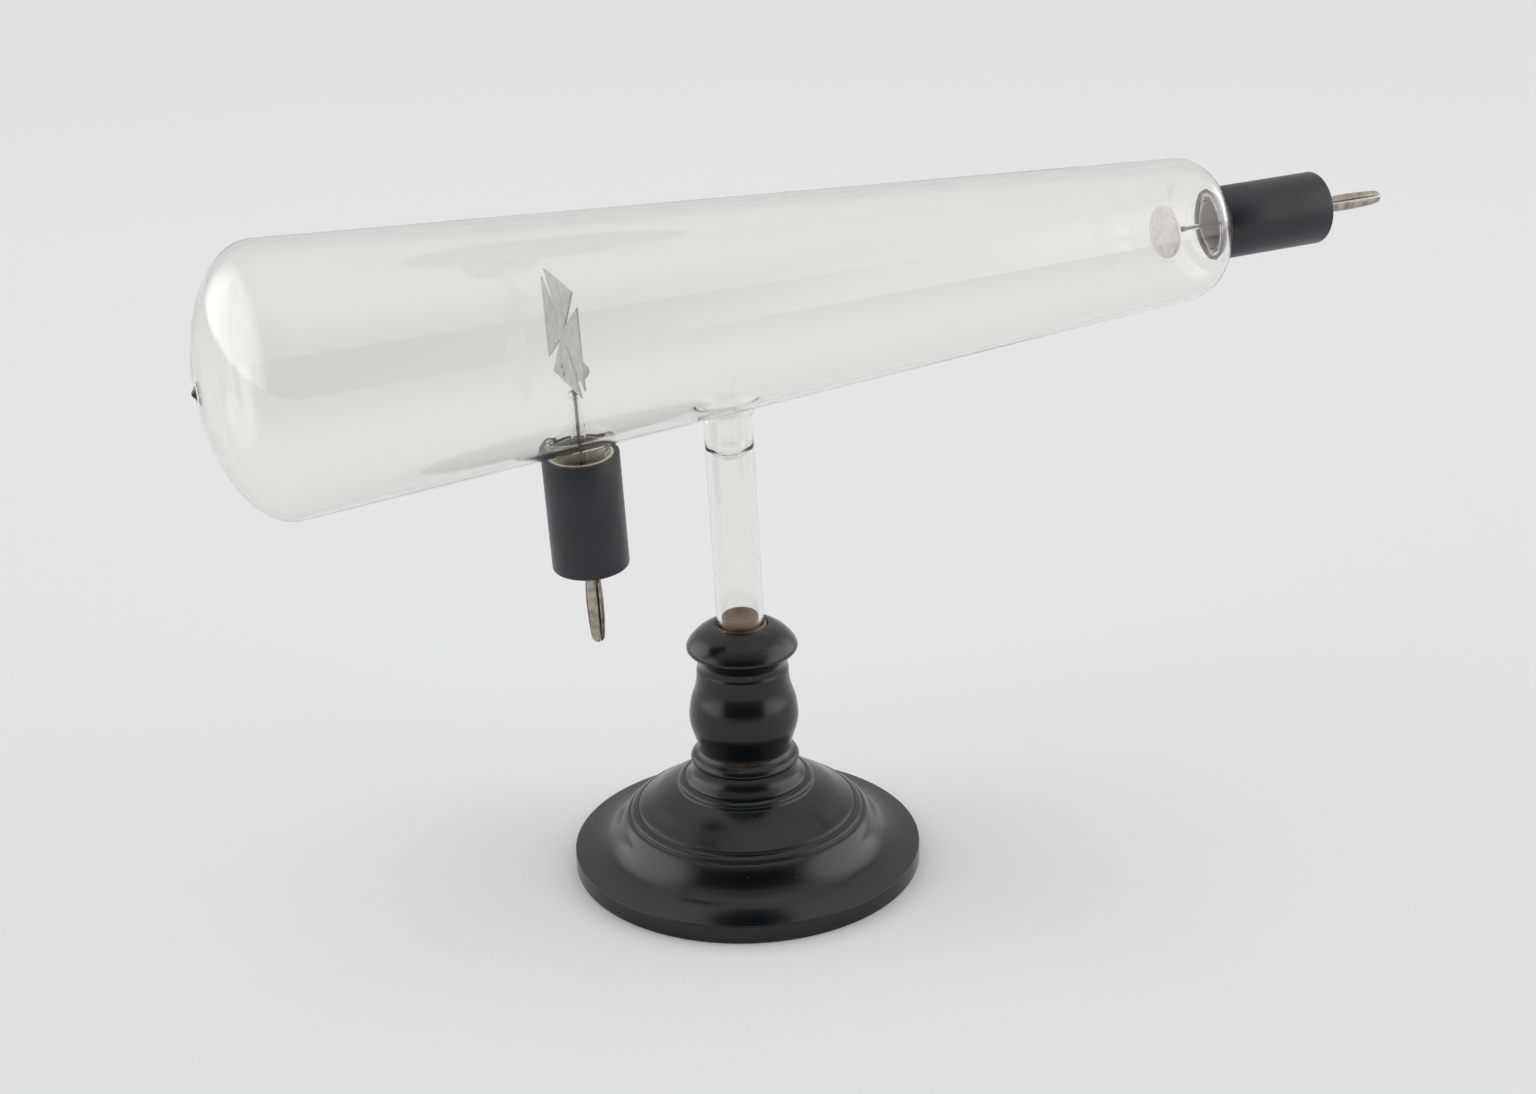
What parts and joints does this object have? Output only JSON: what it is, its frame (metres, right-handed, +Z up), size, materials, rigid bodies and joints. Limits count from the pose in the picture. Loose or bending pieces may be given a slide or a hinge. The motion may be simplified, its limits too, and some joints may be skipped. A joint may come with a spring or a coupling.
{
  "type": "cold cathode ray demonstration tube",
  "caption": "Evacuated conical glass tube with a hinged Maltese cross anode and a disc cathode, capped with plug pins, on a turned black wooden stand",
  "frame": {"origin": "middle of the foot's flat underside", "axes": "+Z up the stand; +X along the tube from its wide end to its cathode end; +Y completes the right-handed set"},
  "size_m": [0.3249, 0.0928, 0.184],
  "materials": {
    "turned_wood": "ebonised and polished, satin, worn brown on the edges",
    "amber_cement": "translucent amber resin cement",
    "clear_glass": "clear soda-lime glass",
    "nickel_wire": "dull drawn nickel, brown with heat",
    "copper_lead": "bare tinned copper",
    "sheet_aluminium": "rolled sheet, dull",
    "black_ebonite": "turned ebonite, satin",
    "white_plaster": "plaster, matt",
    "nickelled_brass": "nickel plate, warm tarnish",
    "plain_brass": "machined"
  },
  "bodies": {
    "tube_and_stand": {"foot": "turned_wood", "pillar": "turned_wood", "socket_cement": "amber_cement", "support_stem": "clear_glass", "envelope": "clear_glass", "anode_neck": "clear_glass", "cathode_neck": "clear_glass", "anode_seal_sleeve": "clear_glass", "cathode_seal_sleeve": "clear_glass", "anode_wire": "nickel_wire", "cathode_wire": "nickel_wire", "anode_lead": "copper_lead", "cathode_lead": "copper_lead", "cathode_disc": "sheet_aluminium", "cathode_ferrule": "sheet_aluminium", "anode_cap": "black_ebonite", "cathode_cap": "black_ebonite", "anode_cap_plaster": "white_plaster", "cathode_cap_plaster": "white_plaster", "anode_plug_pin": "nickelled_brass", "cathode_plug_pin": "nickelled_brass", "anode_pin_nut": "plain_brass", "cathode_pin_nut": "plain_brass", "anode_solder_tag": "plain_brass", "cathode_solder_tag": "plain_brass"},
    "cross": {"maltese_cross": "sheet_aluminium", "cross_hinge_lug": "sheet_aluminium", "cross_hinge_pin": "nickel_wire", "cross_rivets": "sheet_aluminium"}
  },
  "joints": [
    {"name": "cross_hinge", "type": "hinge", "parent": "tube_and_stand", "child": "cross", "pos_m": [-0.04268, -0.00153, 0.14298], "axis": [-0.0033, 0.9985, 0.0548], "range_deg": [0, 125]}
  ]
}
